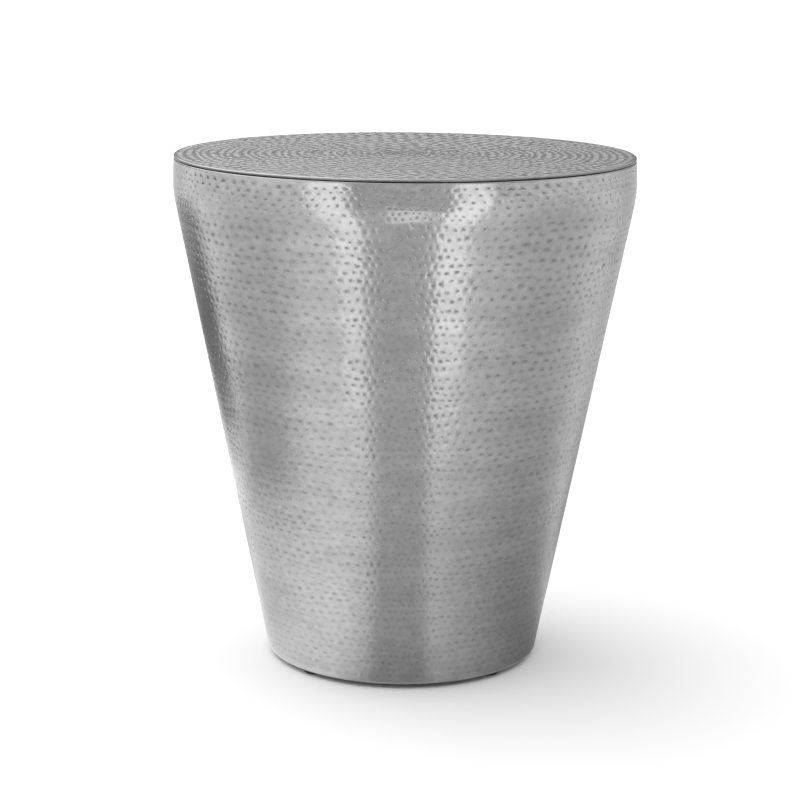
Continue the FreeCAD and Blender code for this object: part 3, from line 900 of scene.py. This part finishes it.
class SIDETABLE_OT_wall(bpy.types.Operator):
    """Make the hammered wall of the drum"""

    bl_idname = "sidetable.wall"
    bl_label = "Hammered wall"

    def execute(self, context):
        sizes, marks = context.scene.sheet_sizes, context.scene.hammer_marks
        rim, base = sizes.rim_diameter / 2, sizes.base_diameter / 2
        floor, top = SHELL_LOW.z, SHELL_HIGH.z
        outer = [
            (base - sizes.base_flange, floor, sizes.sheet_edge),
            (base, floor, sizes.base_bend),
            (rim + sizes.shoulder_swell, TOP_HIGH.z - sizes.shoulder_drop, sizes.shoulder_bend),
            (rim, top, sizes.rim_bend),
            (rim - sizes.rim_flange, top, sizes.sheet_edge),
        ]
        outline = Outline(outer + inset(outer, sizes.sheet), closed=True)
        low = outline.bend_end(1, True) + marks.plain_base
        high = outline.bend_end(3, False) - marks.plain_rim
        draw = random.Random(marks.seed)
        skin = Skin(outline, (low, high))
        growth = np.linspace(1, marks.row_growth, marks.wall_rows)
        on_shoulder = np.arange(marks.wall_rows) >= marks.wall_rows - marks.shoulder_rows
        heights = growth * np.where(on_shoulder, marks.shoulder_row, 1)
        unit = (high - low) / heights.sum()
        steps = low + unit * np.concatenate([[0], np.cumsum(heights)])
        pitches = marks.spacing * unit * growth
        first, last = skin.hammer(
            draw, steps, pitches, marks.row_drift, marks.fill, marks.depth, marks.rise, FULL_POLISH_AND_SHADE
        )
        below = [skin.ring(step, PLAIN_POINTS) for step in outline.distance if step < low]
        above = [skin.ring(step, PLAIN_POINTS) for step in outline.distance if step > high]
        skin.stitch(*below, first)
        skin.stitch(last, *above, below[0])
        # The dents crowd together once round the drum, at the front, and four times, in each quarter.
        crowding = ((1, marks.front_crowding), (4, marks.crowding))
        wall = skin.build("hammered_wall", draw, marks.wander, marks.wander_length, marks.ripple, crowding)
        dress(wall, aluminium(context.scene.finishes))
        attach(wall, BODY)
        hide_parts("drum_shell")
        return {"FINISHED"}


class SIDETABLE_OT_top(bpy.types.Operator):
    """Make the hammered round top"""

    bl_idname = "sidetable.top"
    bl_label = "Hammered top"

    def execute(self, context):
        sizes, marks = context.scene.sheet_sizes, context.scene.hammer_marks
        rim, nose = sizes.rim_diameter / 2, (TOP_HIGH.z - TOP_LOW.z) / 2
        under, hem = TOP_HIGH.z - nose, rim - sizes.rim_flange + sizes.hem_setback
        outline = Outline([
            (0.0, under, 0.0),
            (hem, under, sizes.sheet_edge),
            (hem, TOP_LOW.z, sizes.sheet_edge),
            (rim, TOP_LOW.z, nose),
            (rim, TOP_HIGH.z, nose),
            (0.0, TOP_HIGH.z, 0.0),
        ], closed=False)
        low = outline.bend_end(3, True) + marks.plain_nose
        middle = marks.top_row / 2
        high = outline.whole - middle
        draw = random.Random(marks.seed + 1)
        skin = Skin(outline, (low, outline.whole))
        steps = np.linspace(low, high, 1 + round((high - low) / marks.top_row))
        pitches = marks.top_spacing * np.diff(steps)
        first, last = skin.hammer(
            draw, steps, pitches, marks.top_drift, marks.top_fill, marks.top_depth, 0.0, marks.top_polish_and_shade
        )
        below = [skin.ring(step, PLAIN_POINTS) for step in outline.distance if 0 < step < low]
        skin.fan(skin.pole(0.0), below[0][::-1])
        skin.stitch(*below, first)
        slope = skin.SLOPE_RING
        deep = marks.top_depth * middle
        steep = 4 * deep * slope * (1 - slope ** 2) / middle
        part_down = deep * (1 - slope ** 2) ** 2
        inner = [
            skin.point((i + 0.5) / skin.SIDES, outline.whole - middle * slope, part_down, 0.0, steep)
            for i in range(skin.SIDES)
        ]
        skin.stitch(last, inner)
        skin.fan(skin.pole(outline.whole, deep), inner)
        top = skin.build(
            "hammered_top", draw, marks.top_wander, marks.top_wander_length, marks.top_ripple, ()
        )
        dress(top, aluminium(context.scene.finishes))
        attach(top, BODY)
        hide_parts("top_sheet")
        return {"FINISHED"}


class SIDETABLE_OT_boards(bpy.types.Operator):
    """Finish the board under the top and the ring in the base"""

    bl_idname = "sidetable.boards"
    bl_label = "Fibreboard pieces"

    def execute(self, context):
        dress_nodes(BOARD_NODES, fibreboard(context.scene.finishes))
        return {"FINISHED"}


class SIDETABLE_OT_strap(bpy.types.Operator):
    """Finish the strap behind the wall's seam"""

    bl_idname = "sidetable.strap"
    bl_label = "Seam strap"

    def execute(self, context):
        dress_nodes(STRAP_NODES, mill_aluminium(context.scene.finishes))
        return {"FINISHED"}


class SIDETABLE_OT_fittings(bpy.types.Operator):
    """Finish the clips and all the screws"""

    bl_idname = "sidetable.fittings"
    bl_label = "Clips and screws"

    def execute(self, context):
        dress_nodes(ZINC_NODES, zinc_plated_steel(context.scene.finishes))
        return {"FINISHED"}


class SIDETABLE_OT_glides(bpy.types.Operator):
    """Finish the glides under the base"""

    bl_idname = "sidetable.glides"
    bl_label = "Glides"

    def execute(self, context):
        dress_nodes(GLIDE_NODES, black_nylon(context.scene.finishes))
        return {"FINISHED"}


class SIDETABLE_OT_stage(bpy.types.Operator):
    """Make the floor, the cards, the room light, the lamp and the camera"""

    bl_idname = "sidetable.stage"
    bl_label = "Studio"

    def execute(self, context):
        scene = context.scene
        half = scene.studio_setup.floor_size / 2
        square = [(-half, -half, 0), (half, -half, 0), (half, half, 0), (-half, half, 0)]
        card("studio_floor", square, [range(4)], matt_paint("floor_paint", scene.finishes.floor))
        for number, (name, tint, glow, fades, rows) in enumerate(CARDS, 1):
            mirrored_card(name, fades, rows, number * CARD_LIFT, card_cloth(name, linear(tint), glow))
        light_room(scene)
        hang_key_lamp(scene)
        set_up_camera(scene)
        return {"FINISHED"}


OPERATORS = (
    SIDETABLE_OT_wall,
    SIDETABLE_OT_top,
    SIDETABLE_OT_boards,
    SIDETABLE_OT_strap,
    SIDETABLE_OT_fittings,
    SIDETABLE_OT_glides,
    SIDETABLE_OT_stage,
)
GROUPS = {
    "sheet_sizes": SheetSizes,
    "hammer_marks": HammerMarks,
    "finishes": Finishes,
    "studio_setup": StudioSetup,
}


class SIDETABLE_PT_panel(bpy.types.Panel):
    """Lists the table's pieces and settings in the sidebar"""

    bl_idname = "SIDETABLE_PT_panel"
    bl_label = "Side Table"
    bl_space_type = "VIEW_3D"
    bl_region_type = "UI"
    bl_category = "Side Table"

    def draw(self, context):
        for name, group in GROUPS.items():
            box = self.layout.box()
            settings = getattr(context.scene, name)
            for field in group.__annotations__:
                box.prop(settings, field)
        for operator in OPERATORS:
            self.layout.operator(operator.bl_idname)


def register():
    """Register the settings, the operators and the panel."""
    for group in GROUPS.values():
        bpy.utils.register_class(group)
    for name, group in GROUPS.items():
        setattr(bpy.types.Scene, name, PointerProperty(type=group))
    for piece in OPERATORS + (SIDETABLE_PT_panel,):
        bpy.utils.register_class(piece)


def unregister():
    """Take the panel, the operators and the settings away again."""
    for piece in (SIDETABLE_PT_panel,) + OPERATORS[::-1]:
        bpy.utils.unregister_class(piece)
    for name, group in GROUPS.items():
        delattr(bpy.types.Scene, name)
        bpy.utils.unregister_class(group)


def main():
    """Make every piece."""
    register()
    bpy.ops.sidetable.wall()
    bpy.ops.sidetable.top()
    bpy.ops.sidetable.boards()
    bpy.ops.sidetable.strap()
    bpy.ops.sidetable.fittings()
    bpy.ops.sidetable.glides()
    bpy.ops.sidetable.stage()
    bpy.context.view_layer.update()


if __name__ == "__main__":
    main()
